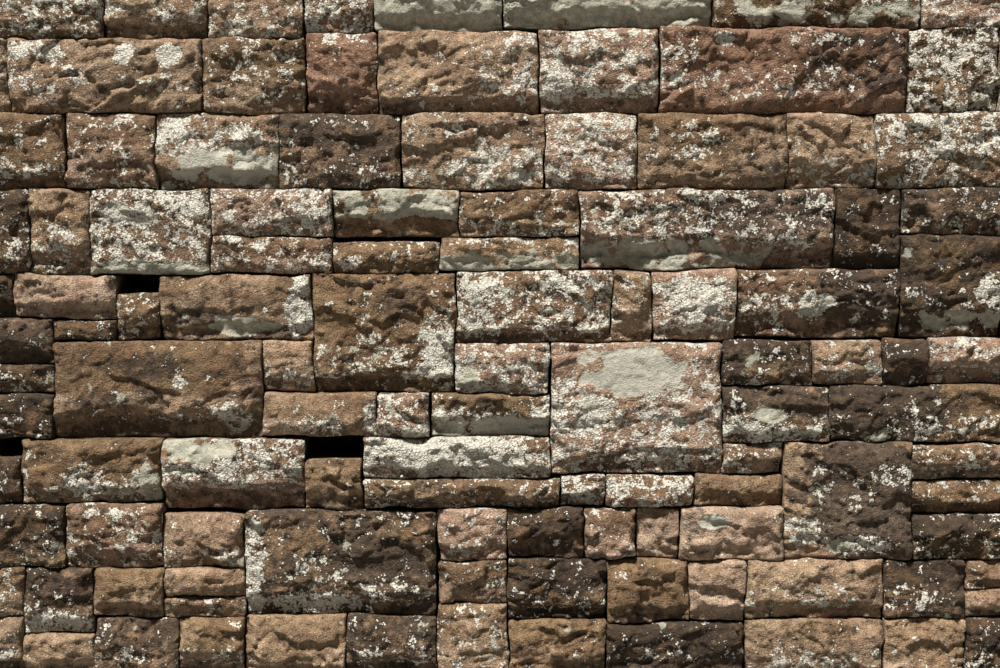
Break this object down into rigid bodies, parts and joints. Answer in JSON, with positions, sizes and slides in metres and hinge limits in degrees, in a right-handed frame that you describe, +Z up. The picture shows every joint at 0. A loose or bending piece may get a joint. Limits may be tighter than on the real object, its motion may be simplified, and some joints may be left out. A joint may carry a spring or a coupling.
{
  "type": "dry stone wall stretch",
  "caption": "Straight free-standing stretch of dry stone wall in squared rock-faced sandstone, laid without mortar, with tied ends and flat cope slabs.",
  "frame": {"origin": "middle of the foot of the wall, on the ground", "axes": "+X along the wall to the right as the front face is seen, +Y from the front face to the back face, +Z up"},
  "size_m": [2, 0.5352, 1.2483],
  "materials": {
    "sandstone": "pitched, rough red-brown sandstone, weathered, with grey and white crustose lichen and black staining",
    "cope_sandstone": "split sandstone slabs, weathered, with grey lichen",
    "hearting_stone": "dark packed small stones in shade"
  },
  "bodies": {
    "root": {"front_course_1": "sandstone", "front_course_2": "sandstone", "front_course_2_thin": "sandstone", "front_course_3": "sandstone", "front_course_4": "sandstone", "front_course_4_upper": "sandstone", "front_course_5": "sandstone", "front_course_5_upper": "sandstone", "front_course_6": "sandstone", "front_course_6_upper": "sandstone", "front_course_7": "sandstone", "front_course_7_upper": "sandstone", "front_course_8": "sandstone", "front_course_9": "sandstone", "front_course_10": "sandstone", "back_course_1": "sandstone", "back_course_2": "sandstone", "back_course_2_thin": "sandstone", "back_course_3": "sandstone", "back_course_4": "sandstone", "back_course_4_upper": "sandstone", "back_course_5": "sandstone", "back_course_5_upper": "sandstone", "back_course_6": "sandstone", "back_course_6_upper": "sandstone", "back_course_7": "sandstone", "back_course_7_upper": "sandstone", "back_course_8": "sandstone", "back_course_9": "sandstone", "back_course_10": "sandstone", "left_end_ties": "sandstone", "right_end_ties": "sandstone", "hearting": "hearting_stone", "cope_slabs": "cope_sandstone"}
  },
  "joints": []
}
